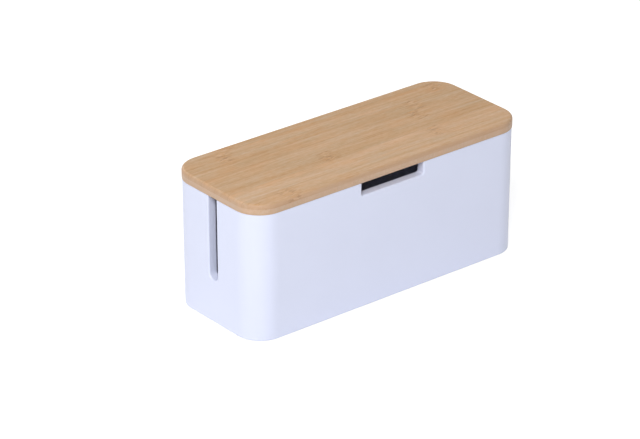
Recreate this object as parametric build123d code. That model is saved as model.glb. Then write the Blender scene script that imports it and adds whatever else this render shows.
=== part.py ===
from build123d import *
import math
import os

# A lidded box that hides a power strip and its cables. Sizes are in millimetres.
# +X runs along the box, the notched front faces -Y and +Z is up.
# The origin is on the table, under the middle of the box.

# Whole box
total_height = 145.0

# Lid: a board of three glued plies of bamboo strips, rebated underneath
lid_length = 340.0
lid_width = 132.0
lid_corner_radius = 28.5
lid_top_rounding = 3.0
lid_bottom_rounding = 1.0
face_ply = 5.0
core_ply = 4.0
back_ply = 2.0
face_staves = 7
face_front_stave = 20.6
face_rear_stave = 10.4
core_strips = 17
back_staves = 7
back_edge_stave = 16.0
plug_depth = 4.0
plug_clearance = 1.0
plug_rounding = 1.0

# Body shell: an outer and an inner wall, joined by a land at the rim and round each opening
lid_overhang = 0.5
wall_depth = 9.5
outer_wall = 2.4
inner_wall = 2.0
land_thickness = 2.4
land_rounding = 0.6
shell_foot_rounding = 0.8
draft_angle = 0.25

# Hand notch in the front wall, and a cable slot in each end wall, all open to the rim
notch_width = 78.0
notch_depth = 13.5
notch_corner_radius = 2.5
slot_width = 13.0
slot_depth = 88.0
opening_rounding = 1.5

# Base plate, held in a rebate that thins the outer wall's foot to a lip
foot_lip = 1.4
plate_thickness = 2.6
plate_recess = 0.6
plate_clearance = 0.2

# Countersunk 2.2 mm tapping screws that hold the base plate, and their posts between the walls
screw_root_diameter = 1.6
screw_head_diameter = 3.8
screw_head_height = 1.1
screw_length = 9.5
screw_sink = 0.1
drive_width = 0.5
drive_span = 2.2
drive_depth = 0.7
pilot_clearance = 0.05
pilot_spare_depth = 1.5
plate_hole_clearance = 0.4
post_diameter = 7.0
post_height = 12.0

# Silicone feet, stuck into shallow seats in the base plate
foot_diameter = 16.0
foot_height = 2.2
foot_rounding = 0.6
foot_seat_depth = 1.0
foot_seat_clearance = 0.2
foot_from_end = 40.0
foot_from_side = 28.0

# Heights above the table
lid_thickness = face_ply + core_ply + back_ply
rim_z = total_height - lid_thickness
plate_bottom_z = foot_height - foot_seat_depth
plate_top_z = plate_bottom_z + plate_thickness
shell_foot_z = plate_bottom_z - plate_recess

# Body outline at the rim
body_length = lid_length - 2 * lid_overhang
body_width = lid_width - 2 * lid_overhang
body_corner_radius = lid_corner_radius - lid_overhang

# Each opening's plane stands on the rim at the box's middle and looks out through its wall
front_plane = Plane(origin=(0, 0, rim_z), x_dir=(1, 0, 0), z_dir=(0, -1, 0))
left_plane = Plane(origin=(0, 0, rim_z), x_dir=(0, -1, 0), z_dir=(-1, 0, 0))
right_plane = Plane(origin=(0, 0, rim_z), x_dir=(0, 1, 0), z_dir=(1, 0, 0))


def body_section(inset, z):
    """The body's cross-section at height z, moved in from the outer face by inset."""
    lean = (rim_z - z) * math.tan(math.radians(draft_angle))
    step = inset + lean
    section = RectangleRounded(body_length - 2 * step, body_width - 2 * step, body_corner_radius - step)
    return Pos(0, 0, z) * section


def drafted_block(inset, low_z, high_z):
    """A block between two heights whose sides keep the body's draft."""
    return loft([body_section(inset, low_z), body_section(inset, high_z)], ruled=True)


def notch_block(margin):
    """The front notch as a block that runs out through the wall, grown by margin."""
    low = -notch_depth - margin
    outline = Pos(0, low) * Rectangle(
        notch_width + 2 * margin, total_height, align=(Align.CENTER, Align.MIN)
    )
    outline = fillet(outline.vertices().group_by(Axis.Y)[0], notch_corner_radius + margin)
    return extrude(front_plane * outline, amount=lid_width)


def slot_block(plane, margin):
    """An end slot with its round lower end, as a block through that wall, grown by margin."""
    centre = slot_width / 2 - slot_depth
    radius = slot_width / 2 + margin
    shaft = Pos(0, centre) * Rectangle(2 * radius, total_height, align=(Align.CENTER, Align.MIN))
    outline = shaft + Pos(0, centre) * Circle(radius)
    return extrude(plane * outline, amount=lid_length)


def opening_blocks(margin):
    """The notch and both slots, grown by margin on their closed sides."""
    return [notch_block(margin), slot_block(left_plane, margin), slot_block(right_plane, margin)]


def is_outside(edge):
    """Whether an edge of an opening lies on the outer face of its wall."""
    centre = edge.center()
    reach_x = (body_length - wall_depth) / 2
    reach_y = (body_width - wall_depth) / 2
    return abs(centre.X) > reach_x or abs(centre.Y) > reach_y


def screw_places():
    """One screw at each corner and one at the middle of each long side, between the walls."""
    mid_gap = (outer_wall + wall_depth - inner_wall) / 2
    corner_x = body_length / 2 - body_corner_radius
    corner_y = body_width / 2 - body_corner_radius
    reach = (body_corner_radius - mid_gap) * math.sqrt(0.5)
    corners = [
        (side_x * (corner_x + reach), side_y * (corner_y + reach))
        for side_x in (-1, 1)
        for side_y in (-1, 1)
    ]
    middles = [(0, side_y * (body_width / 2 - mid_gap)) for side_y in (-1, 1)]
    return corners + middles


def foot_places():
    """The feet by name, with their centres."""
    x = body_length / 2 - foot_from_end
    y = body_width / 2 - foot_from_side
    return {
        "foot_front_left": (-x, -y),
        "foot_front_right": (x, -y),
        "foot_back_left": (-x, y),
        "foot_back_right": (x, y),
    }


def upright_cylinder(place, radius, low_z, high_z):
    """A cylinder along Z between two heights."""
    base = Pos(place[0], place[1], low_z)
    return base * Cylinder(radius, high_z - low_z, align=(Align.CENTER, Align.CENTER, Align.MIN))


def wall_gap():
    """The space between the two walls, stopped short of the rim, the openings and the posts."""
    top_z = rim_z - land_thickness
    gap = drafted_block(outer_wall, plate_top_z, top_z)
    gap -= drafted_block(wall_depth - inner_wall, plate_top_z, top_z)
    for block in opening_blocks(land_thickness):
        gap -= block
    for place in screw_places():
        gap -= upright_cylinder(place, post_diameter / 2, plate_top_z, plate_top_z + post_height)
    return gap


def make_body_shell():
    """The white moulding: both walls, the rim, the notch and the slots."""
    block = drafted_block(0, shell_foot_z, rim_z)
    block = fillet(block.edges().group_by(Axis.Z)[0], shell_foot_rounding)
    ring = block - drafted_block(wall_depth, shell_foot_z, rim_z)
    openings = opening_blocks(0)
    shell = ring - openings
    rim_edges = shell.edges().group_by(Axis.Z)[-1]
    opening_edges = [edge for edge in new_edges(ring, *openings, combined=shell) if edge not in rim_edges]
    shell = fillet([edge for edge in opening_edges if is_outside(edge)], opening_rounding)
    inner_edges = [edge for edge in shell.edges() if edge in opening_edges]
    shell = fillet(shell.edges().group_by(Axis.Z)[-1] + inner_edges, land_rounding)
    shell -= wall_gap()
    shell -= drafted_block(foot_lip, shell_foot_z, plate_top_z)
    pilot_radius = screw_root_diameter / 2 + pilot_clearance
    pilot_top_z = plate_bottom_z + screw_length + pilot_spare_depth
    for place in screw_places():
        shell -= upright_cylinder(place, pilot_radius, plate_top_z, pilot_top_z)
    return shell


def head_cone(clearance):
    """A countersunk head, wide end down, grown sideways by clearance."""
    return Cone(
        screw_head_diameter / 2 + clearance,
        screw_root_diameter / 2 + clearance,
        screw_head_height,
        align=(Align.CENTER, Align.CENTER, Align.MIN),
    )


def make_base_plate():
    """The floor of the box, with countersunk screw holes and seats for the feet."""
    plate = drafted_block(foot_lip + plate_clearance, plate_bottom_z, plate_top_z)
    hole_radius = screw_root_diameter / 2 + plate_hole_clearance
    head_z = plate_bottom_z + screw_sink
    for place in screw_places():
        plate -= upright_cylinder(place, hole_radius, plate_bottom_z, plate_top_z)
        plate -= Pos(place[0], place[1], head_z) * head_cone(pilot_clearance)
        sink_radius = screw_head_diameter / 2 + pilot_clearance
        plate -= upright_cylinder(place, sink_radius, plate_bottom_z, head_z)
    seat_radius = foot_diameter / 2 + foot_seat_clearance
    for place in foot_places().values():
        plate -= upright_cylinder(place, seat_radius, plate_bottom_z, foot_height)
    return plate


def make_screw(place):
    """One screw, head down, with a cross recess."""
    head_z = plate_bottom_z + screw_sink
    shank = upright_cylinder(place, screw_root_diameter / 2, head_z, head_z + screw_length)
    screw = shank + Pos(place[0], place[1], head_z) * head_cone(0)
    for span_x, span_y in ((drive_span, drive_width), (drive_width, drive_span)):
        arm = Box(span_x, span_y, drive_depth, align=(Align.CENTER, Align.CENTER, Align.MIN))
        screw -= Pos(place[0], place[1], head_z) * arm
    return screw


def make_foot(place):
    """One round foot with a soft lower edge."""
    foot = upright_cylinder(place, foot_diameter / 2, 0, foot_height)
    return fillet(foot.edges().group_by(Axis.Z)[0], foot_rounding)


def make_lid_board():
    """The whole lid as one board, before it is told apart into its strips."""
    outline = RectangleRounded(lid_length, lid_width, lid_corner_radius)
    board = extrude(Pos(0, 0, rim_z) * outline, amount=lid_thickness)
    board = fillet(board.edges().group_by(Axis.Z)[-1], lid_top_rounding)
    board = fillet(board.edges().group_by(Axis.Z)[0], lid_bottom_rounding)
    step = wall_depth + plug_clearance
    plug_outline = RectangleRounded(
        body_length - 2 * step, body_width - 2 * step, body_corner_radius - step
    )
    plug = extrude(Pos(0, 0, rim_z - plug_depth) * plug_outline, amount=plug_depth)
    plug = fillet(plug.edges().group_by(Axis.Z)[0], plug_rounding)
    return board + plug


def glue_lines(span, count, first_strip, last_strip):
    """The two edges of a ply and its glue lines: a first and a last strip, and equal ones between."""
    pitch = (span - first_strip - last_strip) / (count - 2)
    first_line = first_strip - span / 2
    return [-span / 2] + [first_line + pitch * number for number in range(count - 1)] + [span / 2]


def cut_strip(board, low, high):
    """The part of the board between two corners."""
    size = [high[axis] - low[axis] for axis in range(3)]
    centre = [(high[axis] + low[axis]) / 2 for axis in range(3)]
    return board & (Pos(*centre) * Box(*size))


def make_lengthwise_ply(board, name, low_z, high_z, edges):
    """One ply of the board as named staves that run along it, from front to back."""
    half = lid_length / 2
    return {
        f"{name}_{number:02d}": cut_strip(board, (-half, front, low_z), (half, back, high_z))
        for number, (front, back) in enumerate(zip(edges, edges[1:]), start=1)
    }


def make_core_ply(board, low_z, high_z):
    """The middle ply as named strips that run across the board, from left to right."""
    half = lid_width / 2
    strip = lid_length / core_strips
    edges = glue_lines(lid_length, core_strips, strip, strip)
    return {
        f"lid_core_strip_{number:02d}": cut_strip(board, (left, -half, low_z), (right, half, high_z))
        for number, (left, right) in enumerate(zip(edges, edges[1:]), start=1)
    }


def make_lid():
    """Every strip of the lid: face, core and back plies from the top down."""
    board = make_lid_board()
    face_z = total_height - face_ply
    core_z = face_z - core_ply
    face_edges = glue_lines(lid_width, face_staves, face_front_stave, face_rear_stave)
    back_edges = glue_lines(lid_width, back_staves, back_edge_stave, back_edge_stave)
    face = make_lengthwise_ply(board, "lid_face_stave", face_z, total_height, face_edges)
    core = make_core_ply(board, core_z, face_z)
    back = make_lengthwise_ply(board, "lid_back_stave", rim_z - plug_depth, core_z, back_edges)
    return face | core | back


def make_nodes():
    """Every separate piece of the box, by name."""
    nodes = {
        "body_shell": make_body_shell(),
        "base_plate": make_base_plate(),
        "base_screws": Compound([make_screw(place).solid() for place in screw_places()]),
    }
    for name, place in foot_places().items():
        nodes[name] = make_foot(place)
    nodes |= make_lid()
    return nodes


os.makedirs("parts", exist_ok=True)
for node_name, shape in make_nodes().items():
    export_step(shape, f"parts/{node_name}.step")
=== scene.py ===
import math
import random

import bmesh
import bpy
from bpy.props import FloatProperty, FloatVectorProperty, IntProperty, PointerProperty
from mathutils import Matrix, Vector


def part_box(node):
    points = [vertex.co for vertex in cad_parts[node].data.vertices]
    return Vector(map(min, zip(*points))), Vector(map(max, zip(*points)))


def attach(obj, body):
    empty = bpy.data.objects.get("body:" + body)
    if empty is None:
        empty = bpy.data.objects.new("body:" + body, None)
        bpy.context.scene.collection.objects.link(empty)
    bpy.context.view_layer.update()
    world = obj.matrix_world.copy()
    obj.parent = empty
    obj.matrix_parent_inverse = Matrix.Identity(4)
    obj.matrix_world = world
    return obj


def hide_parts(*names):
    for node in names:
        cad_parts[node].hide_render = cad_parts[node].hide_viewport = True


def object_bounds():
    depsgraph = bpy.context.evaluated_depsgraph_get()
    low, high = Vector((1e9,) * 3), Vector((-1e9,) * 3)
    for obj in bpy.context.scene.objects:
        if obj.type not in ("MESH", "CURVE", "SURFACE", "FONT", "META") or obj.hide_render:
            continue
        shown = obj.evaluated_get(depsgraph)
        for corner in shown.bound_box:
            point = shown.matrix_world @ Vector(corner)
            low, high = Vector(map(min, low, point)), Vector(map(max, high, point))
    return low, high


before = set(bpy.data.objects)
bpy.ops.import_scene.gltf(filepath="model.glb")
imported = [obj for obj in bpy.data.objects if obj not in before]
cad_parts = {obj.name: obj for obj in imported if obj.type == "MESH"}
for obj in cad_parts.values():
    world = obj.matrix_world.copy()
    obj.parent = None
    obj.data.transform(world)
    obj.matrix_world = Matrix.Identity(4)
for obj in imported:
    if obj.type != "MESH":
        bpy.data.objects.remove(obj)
cad_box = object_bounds()

bl_info = {
    "name": "Cable Box Finish",
    "version": (1, 0, 0),
    "blender": (4, 5, 0),
    "location": "3D View > Sidebar > Cable Box",
    "description": "Gives a cable box its moulded plastic, pressed bamboo, feet, screws and studio",
    "category": "Material",
}

MM = 0.001

# Knuckles: where the culm's joints cross each face stave, from the front stave to the rear one,
# in metres along the lid from its middle.
FACE_KNUCKLES = (
    (-121 * MM,),
    (80 * MM,),
    (-41 * MM,),
    (91 * MM,),
    (105 * MM,),
    (-120 * MM, 149 * MM),
    (-107 * MM,),
)

# Tone of each face stave, from the front one to the rear one: 0 is the light tone, 1 the dark one.
FACE_SHADES = (0.40, 0.34, 0.70, 0.64, 0.73, 0.62, 0.68)

# How the strips of each ply lie and look: the degrees that turn their fibres onto X, the axis that they
# lie side by side along, how far their wood leans from ochre to rose, and how dark their glue lines are.
PLIES = {
    "face": {"turn": 0, "axis": 1, "rosiness": 0.0, "glue": 0.35},
    "core": {"turn": 90, "axis": 0, "rosiness": 0.25, "glue": 0.15},
    "back": {"turn": 0, "axis": 1, "rosiness": 0.25, "glue": 0.35},
}

# Where each lamp hangs: degrees round the box from its front, and degrees above the floor.
LAMPS = {"side": (-90, 20), "front": (-46, 42), "rear": (180, 30)}


def linear(code):
    """An sRGB hex colour as the linear red, green and blue that the shaders take."""
    channels = [int(code[place:place + 2], 16) / 255 for place in (1, 3, 5)]
    return tuple(c / 12.92 if c <= 0.04045 else ((c + 0.055) / 1.055) ** 2.4 for c in channels)


def outward(azimuth, elevation):
    """The way out from the box at an angle round it from its front, and at an angle above the floor."""
    level = math.cos(elevation)
    return Vector((math.sin(azimuth) * level, -math.cos(azimuth) * level, math.sin(elevation)))


def nodes_named(start):
    """The names of the CAD nodes that start with these words, in order."""
    return sorted(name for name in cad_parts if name.startswith(start))


# Sizes and colours that a user would change


class CABLEBOX_PG_shell(bpy.types.PropertyGroup):
    colour: FloatVectorProperty(
        name="Colour", description="Colour of the moulded shell",
        subtype="COLOR", size=3, min=0, max=1, default=linear("#E1E6FB"),
    )
    roughness: FloatProperty(
        name="Roughness", description="How matt the moulded surface is",
        subtype="FACTOR", min=0, max=1, default=0.45,
    )
    grain: FloatProperty(
        name="Grain", description="Spacing of the spark-eroded grain",
        unit="LENGTH", subtype="DISTANCE", min=0.1 * MM, default=0.9 * MM, precision=5,
    )
    relief: FloatProperty(
        name="Relief", description="Depth of the spark-eroded grain",
        unit="LENGTH", subtype="DISTANCE", min=0, default=0.008 * MM, precision=6,
    )


class CABLEBOX_PG_bamboo(bpy.types.PropertyGroup):
    light: FloatVectorProperty(
        name="Light tone", description="The palest bamboo",
        subtype="COLOR", size=3, min=0, max=1, default=linear("#D4AF8B"),
    )
    dark: FloatVectorProperty(
        name="Dark tone", description="The deepest bamboo",
        subtype="COLOR", size=3, min=0, max=1, default=linear("#BE9567"),
    )
    # The sawn edges' own greyer colour, which also serves as painted shade on the lid's sides and rounded top
    # edge.
    sawn_and_shade: FloatVectorProperty(
        name="Sawn edge", description="The greyer bamboo that the sawn edges lean to",
        subtype="COLOR", size=3, min=0, max=1, default=linear("#BB9A80"),
    )
    warmth: FloatProperty(
        name="Warmth", description="How far the tone drifts between rose and ochre",
        subtype="FACTOR", min=0, max=0.5, default=0.12,
    )
    scar: FloatVectorProperty(
        name="Scar", description="The dark scars of a knuckle, and the glue lines",
        subtype="COLOR", size=3, min=0, max=1, default=linear("#8A6036"),
    )
    smear: FloatVectorProperty(
        name="Smear", description="The pale smears between a knuckle's scars",
        subtype="COLOR", size=3, min=0, max=1, default=linear("#D8B896"),
    )
    knuckle: FloatProperty(
        name="Knuckle", description="How far a knuckle reaches along its strip, to either side",
        unit="LENGTH", subtype="DISTANCE", min=1 * MM, default=16 * MM, precision=5,
    )
    scarring: FloatProperty(
        name="Scarring", description="How strongly a knuckle's scars and smears show",
        subtype="FACTOR", min=0, max=1, default=0.45,
    )
    fibre: FloatProperty(
        name="Fibre", description="Width of one bundle of fibres",
        unit="LENGTH", subtype="DISTANCE", min=0.1 * MM, default=0.9 * MM, precision=5,
    )
    streak: FloatProperty(
        name="Streak", description="Width of one streak of darker or paler bundles",
        unit="LENGTH", subtype="DISTANCE", min=0.5 * MM, default=3.5 * MM, precision=5,
    )
    seam: FloatProperty(
        name="Seam", description="Width of the dark hairline at each side of a glue line",
        unit="LENGTH", subtype="DISTANCE", min=0, default=0.35 * MM, precision=5,
    )
    roughness: FloatProperty(
        name="Roughness", description="How matt the varnish is",
        subtype="FACTOR", min=0, max=1, default=0.5,
    )
    relief: FloatProperty(
        name="Relief", description="Height of the fibres through the varnish",
        unit="LENGTH", subtype="DISTANCE", min=0, default=0.01 * MM, precision=6,
    )


class CABLEBOX_PG_base(bpy.types.PropertyGroup):
    plate: FloatVectorProperty(
        name="Base plate", description="Colour of the moulded base plate",
        subtype="COLOR", size=3, min=0, max=1, default=linear("#DDE0EC"),
    )
    zinc: FloatVectorProperty(
        name="Screws", description="Colour of the zinc on the screws",
        subtype="COLOR", size=3, min=0, max=1, default=linear("#C3C6CB"),
    )
    silicone: FloatVectorProperty(
        name="Feet", description="Colour of the silicone feet",
        subtype="COLOR", size=3, min=0, max=1, default=linear("#C9CCD2"),
    )
    rings: IntProperty(
        name="Rings", description="Grip rings under each foot", min=1, max=8, default=3,
    )
    ring_depth: FloatProperty(
        name="Ring depth", description="Depth of the grooves between the grip rings",
        unit="LENGTH", subtype="DISTANCE", min=0, default=0.3 * MM, precision=5,
    )


class CABLEBOX_PG_stage(bpy.types.PropertyGroup):
    azimuth: FloatProperty(
        name="Azimuth", description="Where the camera stands round the box, from the front towards the right",
        subtype="ANGLE", default=math.radians(-39.12),
    )
    elevation: FloatProperty(
        name="Elevation", description="How far the camera looks down",
        subtype="ANGLE", default=math.radians(25.89),
    )
    distance: FloatProperty(
        name="Distance", description="From the camera to the point that it looks at",
        unit="LENGTH", subtype="DISTANCE", min=0.1, default=3.0993,
    )
    target: FloatVectorProperty(
        name="Target", description="The point that the camera looks at",
        unit="LENGTH", subtype="XYZ", size=3, default=(-40.15 * MM, -3.25 * MM, 72.5 * MM),
    )
    lens: FloatProperty(
        name="Lens", description="Focal length of the camera, in millimetres", min=10, default=178.45,
    )
    sky: FloatProperty(
        name="Sky", description="Strength of the soft light from all round", min=0, default=0.35,
    )
    side: FloatProperty(
        name="Side lamp", description="Power of the lamp at the left",
        unit="POWER", min=0, default=6,
    )
    front: FloatProperty(
        name="Front lamp", description="Power of the lamp at the front left",
        unit="POWER", min=0, default=36.5,
    )
    rear: FloatProperty(
        name="Rear lamp", description="Power of the lamp behind the box",
        unit="POWER", min=0, default=15,
    )
    reach: FloatProperty(
        name="Reach", description="From each lamp to the box",
        unit="LENGTH", subtype="DISTANCE", min=0.5, default=2.6,
    )
    softness: FloatProperty(
        name="Softness", description="Width of each round lamp",
        unit="LENGTH", subtype="DISTANCE", min=0.05, default=0.9,
    )


class CABLEBOX_PG_settings(bpy.types.PropertyGroup):
    shell: PointerProperty(type=CABLEBOX_PG_shell)
    bamboo: PointerProperty(type=CABLEBOX_PG_bamboo)
    base: PointerProperty(type=CABLEBOX_PG_base)
    stage: PointerProperty(type=CABLEBOX_PG_stage)


# Materials


def add_node(tree, kind, settings=None, inputs=None):
    """Adds a node with its settings, and sets its input sockets, or links them where a socket is given."""
    made = tree.nodes.new(kind)
    for name, value in (settings or {}).items():
        setattr(made, name, value)
    for place, value in (inputs or {}).items():
        if isinstance(value, bpy.types.NodeSocket):
            tree.links.new(value, made.inputs[place])
        else:
            made.inputs[place].default_value = value
    return made


def new_material(name):
    """An empty node material, with its node tree."""
    material = bpy.data.materials.new(name)
    material.use_nodes = True
    material.node_tree.nodes.clear()
    return material, material.node_tree


def finish_surface(tree, shader):
    """Links the shader to the material's output."""
    add_node(tree, "ShaderNodeOutputMaterial", inputs={"Surface": shader.outputs[0]})


def moulded_abs(name, colour, roughness, grain, relief):
    """ABS, injection moulded in a spark-eroded tool: an even satin with a fine grain and no lay."""
    material, tree = new_material(name)
    place = add_node(tree, "ShaderNodeTexCoord").outputs["Object"]

    # The pigment is mixed by the melt's flow, so that it is uneven by about one part in fifty.
    melt_swirl, unevenness = 60 * MM, 0.015
    flow = add_node(
        tree, "ShaderNodeTexNoise", inputs={"Vector": place, "Scale": 1 / melt_swirl, "Detail": 1.0}
    )
    thin = [channel * (1 - unevenness) for channel in colour]
    full = [min(channel * (1 + unevenness), 1) for channel in colour]
    tint = add_node(
        tree, "ShaderNodeMix", {"data_type": "RGBA"}, {0: flow.outputs[0], 6: (*thin, 1), 7: (*full, 1)}
    )

    # Handling polishes the grain a little, in soft patches the size of a fingertip.
    fingertip, polish = 18 * MM, 0.05
    touch = add_node(
        tree, "ShaderNodeTexNoise", inputs={"Vector": place, "Scale": 1 / fingertip, "Detail": 3.0}
    )
    satin = add_node(
        tree, "ShaderNodeMapRange",
        inputs={0: touch.outputs[0], 3: roughness - polish, 4: roughness + polish},
    )

    # The real grain is about 0.1 mm, too fine to show, so that it is drawn at the panel's spacing.
    spark = add_node(tree, "ShaderNodeTexNoise", inputs={"Vector": place, "Scale": 1 / grain, "Detail": 2.0})
    bump = add_node(
        tree, "ShaderNodeBump", inputs={"Strength": 1.0, "Distance": relief, "Height": spark.outputs[0]}
    )
    shader = add_node(
        tree, "ShaderNodeBsdfPrincipled",
        inputs={
            "Base Color": tint.outputs[2],
            "Roughness": satin.outputs[0],
            "IOR": 1.54,
            "Normal": bump.outputs[0],
        },
    )
    finish_surface(tree, shader)
    return material


def pressed_bamboo(name, look, ply, seams, shade, knuckles, shift):
    """Carbonised bamboo, pressed in strips, sanded and varnished: straight fibres, satin and knuckled.

    seams are the places of the strip's glue lines across its fibres, and knuckles the places along them
    where a joint of the culm crosses it. shade is the strip's own tone, and shift the place of the culm
    that it was cut from."""
    material, tree = new_material(name)
    place = add_node(tree, "ShaderNodeTexCoord").outputs["Object"]
    strip = add_node(
        tree, "ShaderNodeMapping", inputs={"Vector": place, "Rotation": (0, 0, math.radians(ply["turn"]))}
    ).outputs[0]
    along, across, height = add_node(tree, "ShaderNodeSeparateXYZ", inputs={0: strip}).outputs

    # Each knuckle is a band across the strip that wanders a few millimetres from side to side.
    sway_reach, sway_size = 6 * MM, 9 * MM
    wander = add_node(
        tree, "ShaderNodeTexNoise", {"noise_dimensions": "1D"},
        {"W": across, "Scale": 1 / sway_size, "Detail": 1.0},
    )
    wandering = add_node(
        tree, "ShaderNodeMath", {"operation": "MULTIPLY_ADD"},
        {0: wander.outputs[0], 1: 2 * sway_reach, 2: along},
    ).outputs[0]
    halo = 0.0
    for knuckle in knuckles:
        off = add_node(
            tree, "ShaderNodeMath", {"operation": "SUBTRACT"}, {0: wandering, 1: knuckle + sway_reach}
        ).outputs[0]
        off = add_node(tree, "ShaderNodeMath", {"operation": "ABSOLUTE"}, {0: off}).outputs[0]
        band = add_node(
            tree, "ShaderNodeMapRange", {"interpolation_type": "SMOOTHSTEP"},
            {0: off, 1: 0.0, 2: look.knuckle, 3: 1.0, 4: 0.0},
        ).outputs[0]
        halo = add_node(tree, "ShaderNodeMath", {"operation": "MAXIMUM"}, {0: band, 1: halo}).outputs[0]

    # The fibres part and swirl round a knuckle, and run straight elsewhere.
    swirl_reach, swirl_size = 2 * MM, 7 * MM
    swirl = add_node(
        tree, "ShaderNodeTexNoise", inputs={"Vector": strip, "Scale": 1 / swirl_size, "Detail": 1.0}
    )
    swirled = add_node(
        tree, "ShaderNodeVectorMath", {"operation": "MULTIPLY_ADD"},
        {0: swirl.outputs[1], 1: (0, 2 * swirl_reach, 2 * swirl_reach), 2: (0, -swirl_reach, -swirl_reach)},
    )
    gated = add_node(tree, "ShaderNodeVectorMath", {"operation": "SCALE"}, {0: swirled.outputs[0], 3: halo})
    parted = add_node(tree, "ShaderNodeVectorMath", {"operation": "ADD"}, {0: strip, 1: gated.outputs[0]})
    path = add_node(
        tree, "ShaderNodeVectorMath", {"operation": "ADD"}, {0: parted.outputs[0], 1: (shift, shift, shift)}
    ).outputs[0]

    # The grain, from bundles of fibres and streaks of bundles to slow drifts, wide patches and short
    # flecks: the width and length of each.
    grain = []
    for width, length in (
        (look.fibre, 25 * MM),
        (look.streak, 90 * MM),
        (3 * look.streak, 240 * MM),
        (4 * look.streak, 30 * MM),
        (2 * look.fibre, 6 * MM),
    ):
        stretched = add_node(
            tree, "ShaderNodeVectorMath", {"operation": "MULTIPLY"},
            {0: path, 1: (1 / length, 1 / width, 1 / width)},
        ).outputs[0]
        noise = add_node(
            tree, "ShaderNodeTexNoise", inputs={"Vector": stretched, "Scale": 1.0, "Detail": 2.0}
        ).outputs[0]
        level = add_node(tree, "ShaderNodeMath", {"operation": "SUBTRACT"}, {0: noise, 1: 0.5}).outputs[0]
        grain.append(level)
    bundles, streaks, drifts, patches, flecks = grain

    # Here and there a bundle is much darker than its neighbours.
    bold_from, bold_full = 0.12, 0.22
    bold = add_node(
        tree, "ShaderNodeMapRange", {"interpolation_type": "SMOOTHSTEP"},
        {0: bundles, 1: bold_from, 2: bold_full},
    ).outputs[0]

    # How much each of them deepens the tone from light to dark, and turns the hue from rose to ochre.
    tone, hue = shade, 0.5 - ply["rosiness"]
    for level, deepens, turns in (
        (bundles, 0.9, 0.1),
        (bold, 0.5, 0.1),
        (streaks, 1.6, 0.3),
        (drifts, 0.7, 0.7),
        (patches, 0.1, 0.8),
        (flecks, 1.1, 0.4),
        (halo, 0.2, 0.2),
    ):
        tone, hue = (
            add_node(
                tree, "ShaderNodeMath", {"operation": "MULTIPLY_ADD"}, {0: level, 1: share, 2: before}
            ).outputs[0]
            for share, before in ((deepens, tone), (turns, hue))
        )
    wood = add_node(
        tree, "ShaderNodeMix", {"data_type": "RGBA", "clamp_factor": False},
        {0: tone, 6: (*look.light, 1), 7: (*look.dark, 1)},
    ).outputs[2]
    rose, ochre = (1 - look.warmth, 1, 1 + look.warmth, 1), (1 + look.warmth, 1, 1 - look.warmth, 1)
    cast = add_node(
        tree, "ShaderNodeMix", {"data_type": "RGBA", "clamp_factor": False}, {0: hue, 6: rose, 7: ochre}
    ).outputs[2]
    wood = add_node(
        tree, "ShaderNodeMix", {"data_type": "RGBA", "blend_type": "MULTIPLY"}, {0: 1.0, 6: wood, 7: cast}
    ).outputs[2]

    # Only the face is sanded fine. Below its crown the wood turns greyer and darker: partly the own colour of
    # the sawn edges and the unsanded back, partly painted shade on the lid's sides and on the rounding of its
    # top edge.
    crown, sanded, greyness = cad_box[1].z, 1.5 * MM, 0.6
    sawn_and_shade = add_node(
        tree, "ShaderNodeMapRange", inputs={0: height, 1: crown, 2: crown - sanded, 4: greyness}
    ).outputs[0]
    wood = add_node(
        tree, "ShaderNodeMix", {"data_type": "RGBA"}, {0: sawn_and_shade, 6: wood, 7: (*look.sawn_and_shade, 1)}
    ).outputs[2]

    # A knuckle is sanded through: dark scars, and pale smears between them, a little askew both ways.
    spot_from, spot_full = 0.5, 0.65
    marks = []
    for askew, length, width in ((12, 9 * MM, 1.7 * MM), (-12, 10 * MM, 2.5 * MM)):
        turned = add_node(
            tree, "ShaderNodeMapping",
            inputs={
                "Vector": path,
                "Rotation": (0, 0, math.radians(askew)),
                "Scale": (1 / length, 1 / width, 1 / width),
            },
        )
        noise = add_node(
            tree, "ShaderNodeTexNoise", inputs={"Vector": turned.outputs[0], "Scale": 1.0, "Detail": 1.0}
        )
        spots = add_node(
            tree, "ShaderNodeMapRange", {"interpolation_type": "SMOOTHSTEP"},
            {0: noise.outputs[0], 1: spot_from, 2: spot_full, 4: look.scarring},
        ).outputs[0]
        mark = add_node(tree, "ShaderNodeMath", {"operation": "MULTIPLY"}, {0: spots, 1: halo}).outputs[0]
        marks.append(mark)
    scars, smears = marks
    wood = add_node(
        tree, "ShaderNodeMix", {"data_type": "RGBA"}, {0: smears, 6: wood, 7: (*look.smear, 1)}
    ).outputs[2]

    # The glue squeezed out of a joint is sanded off, and leaves a dark hairline.
    deep = scars
    for seam in seams:
        off = add_node(tree, "ShaderNodeMath", {"operation": "SUBTRACT"}, {0: across, 1: seam}).outputs[0]
        off = add_node(tree, "ShaderNodeMath", {"operation": "ABSOLUTE"}, {0: off}).outputs[0]
        line = add_node(
            tree, "ShaderNodeMapRange", {"interpolation_type": "SMOOTHSTEP"},
            {0: off, 1: 0.0, 2: look.seam, 3: ply["glue"], 4: 0.0},
        ).outputs[0]
        deep = add_node(tree, "ShaderNodeMath", {"operation": "MAXIMUM"}, {0: deep, 1: line}).outputs[0]
    colour = add_node(
        tree, "ShaderNodeMix", {"data_type": "RGBA"}, {0: deep, 6: wood, 7: (*look.scar, 1)}
    ).outputs[2]

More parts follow.
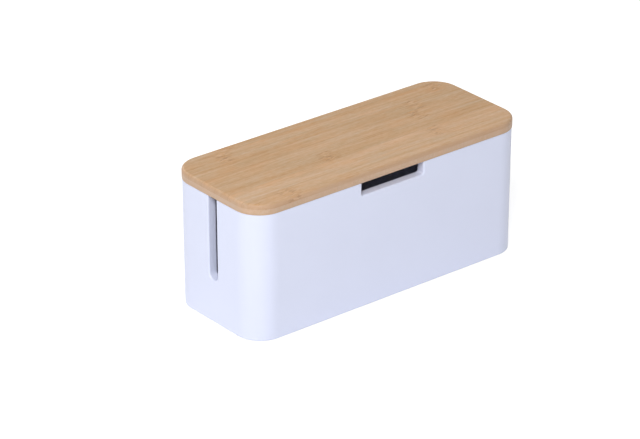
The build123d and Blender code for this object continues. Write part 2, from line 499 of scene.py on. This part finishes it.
    # The varnish sinks into the paler, softer ground between the bundles, and is duller there.
    swing, dulling = 0.2, 0.06
    satin = add_node(
        tree, "ShaderNodeMapRange",
        inputs={0: bundles, 1: -swing, 2: swing, 3: look.roughness + dulling, 4: look.roughness - dulling},
    )
    bump = add_node(
        tree, "ShaderNodeBump", inputs={"Strength": 1.0, "Distance": look.relief, "Height": bundles}
    )
    shader = add_node(
        tree, "ShaderNodeBsdfPrincipled",
        inputs={
            "Base Color": colour,
            "Roughness": satin.outputs[0],
            "IOR": 1.5,
            "Normal": bump.outputs[0],
        },
    )
    finish_surface(tree, shader)
    return material


def zinc_plated_steel(name, colour):
    """Steel, cold headed and zinc plated in a barrel: a bright, slightly blue metal with a pitted skin."""
    material, tree = new_material(name)
    place = add_node(tree, "ShaderNodeTexCoord").outputs["Object"]
    pit_size, pit_depth, smooth, pitted = 0.5 * MM, 0.01 * MM, 0.25, 0.45
    pits = add_node(
        tree, "ShaderNodeTexNoise", inputs={"Vector": place, "Scale": 1 / pit_size, "Detail": 3.0}
    )
    shine = add_node(tree, "ShaderNodeMapRange", inputs={0: pits.outputs[0], 3: smooth, 4: pitted})
    bump = add_node(
        tree, "ShaderNodeBump", inputs={"Strength": 1.0, "Distance": pit_depth, "Height": pits.outputs[0]}
    )
    shader = add_node(
        tree, "ShaderNodeBsdfPrincipled",
        inputs={
            "Base Color": (*colour, 1),
            "Metallic": 1.0,
            "Roughness": shine.outputs[0],
            "Normal": bump.outputs[0],
        },
    )
    finish_surface(tree, shader)
    return material


def moulded_silicone(name, colour):
    """Silicone rubber, compression moulded: milky, soft to the eye, and dusty where it grips."""
    material, tree = new_material(name)
    place = add_node(tree, "ShaderNodeTexCoord").outputs["Object"]
    dust_size, dust_depth, clean, dusty = 2.5 * MM, 0.02 * MM, 0.45, 0.7
    dust = add_node(
        tree, "ShaderNodeTexNoise", inputs={"Vector": place, "Scale": 1 / dust_size, "Detail": 4.0}
    )
    darker = [channel * 0.9 for channel in colour]
    tint = add_node(
        tree, "ShaderNodeMix", {"data_type": "RGBA"}, {0: dust.outputs[0], 6: (*darker, 1), 7: (*colour, 1)}
    )
    dull = add_node(tree, "ShaderNodeMapRange", inputs={0: dust.outputs[0], 3: clean, 4: dusty})
    bump = add_node(
        tree, "ShaderNodeBump", inputs={"Strength": 1.0, "Distance": dust_depth, "Height": dust.outputs[0]}
    )
    shader = add_node(
        tree, "ShaderNodeBsdfPrincipled",
        inputs={
            "Base Color": tint.outputs[2],
            "Roughness": dull.outputs[0],
            "IOR": 1.41,
            "Normal": bump.outputs[0],
        },
    )
    finish_surface(tree, shader)
    return material


def dress(node, material):
    """Gives a CAD node its finish."""
    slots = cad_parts[node].data.materials
    slots.clear()
    slots.append(material)


# Pieces


def make_piece(name, bm, material, body, node):
    """A finished mesh as a piece that rides on a body and stands for a CAD node."""
    mesh = bpy.data.meshes.new(name)
    bm.to_mesh(mesh)
    bm.free()
    mesh.shade_smooth()
    mesh.materials.append(material)
    piece = bpy.data.objects.new(name, mesh)
    bpy.context.scene.collection.objects.link(piece)
    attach(piece, body)
    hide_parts(node)
    return piece


def dress_ply(name, look, shades, knuckles):
    """Gives each strip of a ply a bamboo of its own, cut from another place of the culm."""
    ply = PLIES[name]
    strips = nodes_named(f"lid_{name}_")
    joints = [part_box(strip)[1][ply["axis"]] for strip in strips[:-1]]
    culm_step = 0.37
    for number, (strip, shade, crossings) in enumerate(zip(strips, shades, knuckles)):
        seams = joints[max(number - 1, 0):number + 1]
        label = f"bamboo_{name}_{number + 1:02d}"
        shift = culm_step * (number + 1)
        dress(strip, pressed_bamboo(label, look, ply, seams, shade, crossings, shift))


class CABLEBOX_OT_shell(bpy.types.Operator):
    """Finishes the body shell as moulded plastic"""
    bl_idname = "cablebox.shell"
    bl_label = "Body Shell"

    def execute(self, context):
        look = context.scene.cablebox.shell
        satin = moulded_abs("shell_abs_satin", look.colour, look.roughness, look.grain, look.relief)
        dress("body_shell", satin)
        return {"FINISHED"}


class CABLEBOX_OT_lid_face(bpy.types.Operator):
    """Finishes the staves of the lid's face as pressed bamboo"""
    bl_idname = "cablebox.lid_face"
    bl_label = "Lid Face Staves"

    def execute(self, context):
        dress_ply("face", context.scene.cablebox.bamboo, FACE_SHADES, FACE_KNUCKLES)
        return {"FINISHED"}


class CABLEBOX_OT_lid_core(bpy.types.Operator):
    """Finishes the crosswise strips of the lid's core as pressed bamboo"""
    bl_idname = "cablebox.lid_core"
    bl_label = "Lid Core Strips"

    def execute(self, context):
        # The core is cut from the inner wall of the culm, which is paler and rosier.
        draw = random.Random(17)
        strips = nodes_named("lid_core_")
        shades = [draw.uniform(-0.65, -0.35) for _ in strips]
        dress_ply("core", context.scene.cablebox.bamboo, shades, [()] * len(strips))
        return {"FINISHED"}


class CABLEBOX_OT_lid_back(bpy.types.Operator):
    """Finishes the staves of the lid's back as pressed bamboo"""
    bl_idname = "cablebox.lid_back"
    bl_label = "Lid Back Staves"

    def execute(self, context):
        # The back is made of what is left: its staves differ more, and each has one knuckle, anywhere.
        draw = random.Random(29)
        strips = nodes_named("lid_back_")
        shades = [draw.uniform(-0.4, 0.1) for _ in strips]
        knuckles = [(draw.uniform(cad_box[0].x, cad_box[1].x),) for _ in strips]
        dress_ply("back", context.scene.cablebox.bamboo, shades, knuckles)
        return {"FINISHED"}


class CABLEBOX_OT_base(bpy.types.Operator):
    """Finishes the base plate and its screws"""
    bl_idname = "cablebox.base"
    bl_label = "Base Plate and Screws"

    def execute(self, context):
        shell, base = context.scene.cablebox.shell, context.scene.cablebox.base
        plastic = moulded_abs("plate_abs_satin", base.plate, shell.roughness, shell.grain, shell.relief)
        dress("base_plate", plastic)
        dress("base_screws", zinc_plated_steel("screw_steel_zinc", base.zinc))
        return {"FINISHED"}


class CABLEBOX_OT_feet(bpy.types.Operator):
    """Models the silicone feet, with grip rings underneath"""
    bl_idname = "cablebox.feet"
    bl_label = "Feet"

    def execute(self, context):
        base = context.scene.cablebox.base
        material = moulded_silicone("foot_silicone_milky", base.silicone)
        for node in nodes_named("foot_"):
            foot = make_piece(f"{node}_ringed", self.ringed_disc(node, base), material, "box", node)
        return {"FINISHED"}

    @staticmethod
    def ringed_disc(node, base):
        """A disc turned from half its outline: a flat top, a round lower edge and rings underneath."""
        low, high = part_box(node)
        centre = (low + high) / 2
        radius = (high.x - low.x) / 2
        edge, slope = 0.6 * MM, 0.2 * MM
        pitch = (radius - edge) / (base.rings + 0.5)
        outline = [(0, high.z), (radius, high.z), (radius, low.z + edge)]
        outline += [
            (radius - edge * (1 - math.cos(turn)), low.z + edge * (1 - math.sin(turn)))
            for turn in (math.radians(30), math.radians(60), math.radians(90))
        ]
        sole, bottom = outline[-1][0], low.z + base.ring_depth
        for ring in range(base.rings):
            groove = sole - pitch * (ring + 0.5)
            outline += [(groove, low.z), (groove - slope, bottom)]
            outline += [(groove - pitch / 2, bottom), (groove - pitch / 2 - slope, low.z)]
        outline.append((0, low.z))
        bm = bmesh.new()
        points = [bm.verts.new((centre.x + out, centre.y, z)) for out, z in outline]
        lines = [bm.edges.new(pair) for pair in zip(points, points[1:])]
        bmesh.ops.spin(
            bm, geom=points + lines, cent=(centre.x, centre.y, 0), axis=(0, 0, 1),
            angle=math.tau, steps=48, use_merge=True,
        )
        bmesh.ops.remove_doubles(bm, verts=bm.verts, dist=0.001 * MM)
        bmesh.ops.recalc_face_normals(bm, faces=bm.faces)
        return bm


class CABLEBOX_OT_stage(bpy.types.Operator):
    """Sets the pale floor, the soft lamps, the white surroundings and the camera"""
    bl_idname = "cablebox.stage"
    bl_label = "Stage"

    def execute(self, context):
        look = context.scene.cablebox.stage
        self.lay_floor()
        for name in LAMPS:
            self.hang_lamp(context.scene, look, name)
        self.light_surroundings(context.scene, look)
        self.set_camera(context.scene, look)
        context.scene.view_settings.view_transform = "Standard"
        return {"FINISHED"}

    @staticmethod
    def seen(tree):
        """1 for rays from the camera, mirrors and glass, and 0 for the rays that light the box."""
        rays = add_node(tree, "ShaderNodeLightPath").outputs
        shown = rays["Is Camera Ray"]
        for kind in ("Is Glossy Ray", "Is Transmission Ray"):
            shown = add_node(
                tree, "ShaderNodeMath", {"operation": "MAXIMUM"}, {0: shown, 1: rays[kind]}
            ).outputs[0]
        return shown

    def lay_floor(self):
        """A plain pale floor that shows white, and keeps a soft shadow under the box."""
        material, tree = new_material("floor_paper")
        paper = add_node(tree, "ShaderNodeBsdfDiffuse", inputs={"Color": (*linear("#F3F3F3"), 1)})
        glow = add_node(tree, "ShaderNodeEmission", inputs={"Color": (1, 1, 1, 1), "Strength": 0.5})
        lit = add_node(tree, "ShaderNodeAddShader", inputs={0: paper.outputs[0], 1: glow.outputs[0]})
        shown = add_node(
            tree, "ShaderNodeMixShader", inputs={0: self.seen(tree), 1: paper.outputs[0], 2: lit.outputs[0]}
        )
        finish_surface(tree, shown)
        half_width = 12
        bm = bmesh.new()
        bmesh.ops.create_grid(bm, x_segments=1, y_segments=1, size=half_width)
        mesh = bpy.data.meshes.new("floor")
        bm.to_mesh(mesh)
        bm.free()
        mesh.materials.append(material)
        floor = bpy.data.objects.new("floor", mesh)
        bpy.context.scene.collection.objects.link(floor)

    @staticmethod
    def hang_lamp(scene, look, name):
        """A large round lamp that faces the box."""
        around, above = (math.radians(angle) for angle in LAMPS[name])
        lamp = bpy.data.lights.new(name, "AREA")
        lamp.shape = "DISK"
        lamp.size = look.softness
        lamp.energy = getattr(look, name)
        hung = bpy.data.objects.new(name, lamp)
        hung.location = look.reach * outward(around, above)
        hung.rotation_mode = "QUATERNION"
        hung.rotation_quaternion = hung.location.to_track_quat("Z", "Y")
        scene.collection.objects.link(hung)

    def light_surroundings(self, scene, look):
        """White all round: at full strength where it is seen, and at the sky's strength as light."""
        world = bpy.data.worlds.new("surroundings")
        world.use_nodes = True
        tree = world.node_tree
        tree.nodes.clear()
        strength = add_node(tree, "ShaderNodeMapRange", inputs={0: self.seen(tree), 3: look.sky, 4: 1.0})
        white = add_node(
            tree, "ShaderNodeBackground", inputs={"Color": (1, 1, 1, 1), "Strength": strength.outputs[0]}
        )
        add_node(tree, "ShaderNodeOutputWorld", inputs={"Surface": white.outputs[0]})
        scene.world = world

    @staticmethod
    def set_camera(scene, look):
        """A long lens that looks down at the box from its front left."""
        back = outward(look.azimuth, look.elevation)
        data = bpy.data.cameras.new("camera")
        data.sensor_width = 36
        data.lens = look.lens
        data.dof.use_dof = False
        camera = bpy.data.objects.new("camera", data)
        camera.location = Vector(look.target) + back * look.distance
        camera.rotation_mode = "QUATERNION"
        camera.rotation_quaternion = back.to_track_quat("Z", "Y")
        scene.collection.objects.link(camera)
        scene.camera = camera


OPERATORS = (
    CABLEBOX_OT_shell,
    CABLEBOX_OT_lid_face,
    CABLEBOX_OT_lid_core,
    CABLEBOX_OT_lid_back,
    CABLEBOX_OT_base,
    CABLEBOX_OT_feet,
    CABLEBOX_OT_stage,
)


class CABLEBOX_PT_panel(bpy.types.Panel):
    bl_idname = "CABLEBOX_PT_panel"
    bl_label = "Cable Box"
    bl_space_type = "VIEW_3D"
    bl_region_type = "UI"
    bl_category = "Cable Box"

    def draw(self, context):
        for group in ("shell", "bamboo", "base", "stage"):
            settings = getattr(context.scene.cablebox, group)
            column = self.layout.column(align=True)
            column.label(text=group.title())
            for name in settings.bl_rna.properties.keys():
                if name not in ("rna_type", "name"):
                    column.prop(settings, name)
        for operator in OPERATORS:
            self.layout.operator(operator.bl_idname)


CLASSES = (
    CABLEBOX_PG_shell,
    CABLEBOX_PG_bamboo,
    CABLEBOX_PG_base,
    CABLEBOX_PG_stage,
    CABLEBOX_PG_settings,
    *OPERATORS,
    CABLEBOX_PT_panel,
)


def register():
    for each in CLASSES:
        bpy.utils.register_class(each)
    bpy.types.Scene.cablebox = PointerProperty(type=CABLEBOX_PG_settings)


def unregister():
    del bpy.types.Scene.cablebox
    for each in reversed(CLASSES):
        bpy.utils.unregister_class(each)


def main():
    """Registers the classes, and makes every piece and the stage."""
    register()
    bpy.ops.cablebox.shell()
    bpy.ops.cablebox.lid_face()
    bpy.ops.cablebox.lid_core()
    bpy.ops.cablebox.lid_back()
    bpy.ops.cablebox.base()
    bpy.ops.cablebox.feet()
    bpy.ops.cablebox.stage()


if __name__ == "__main__":
    main()
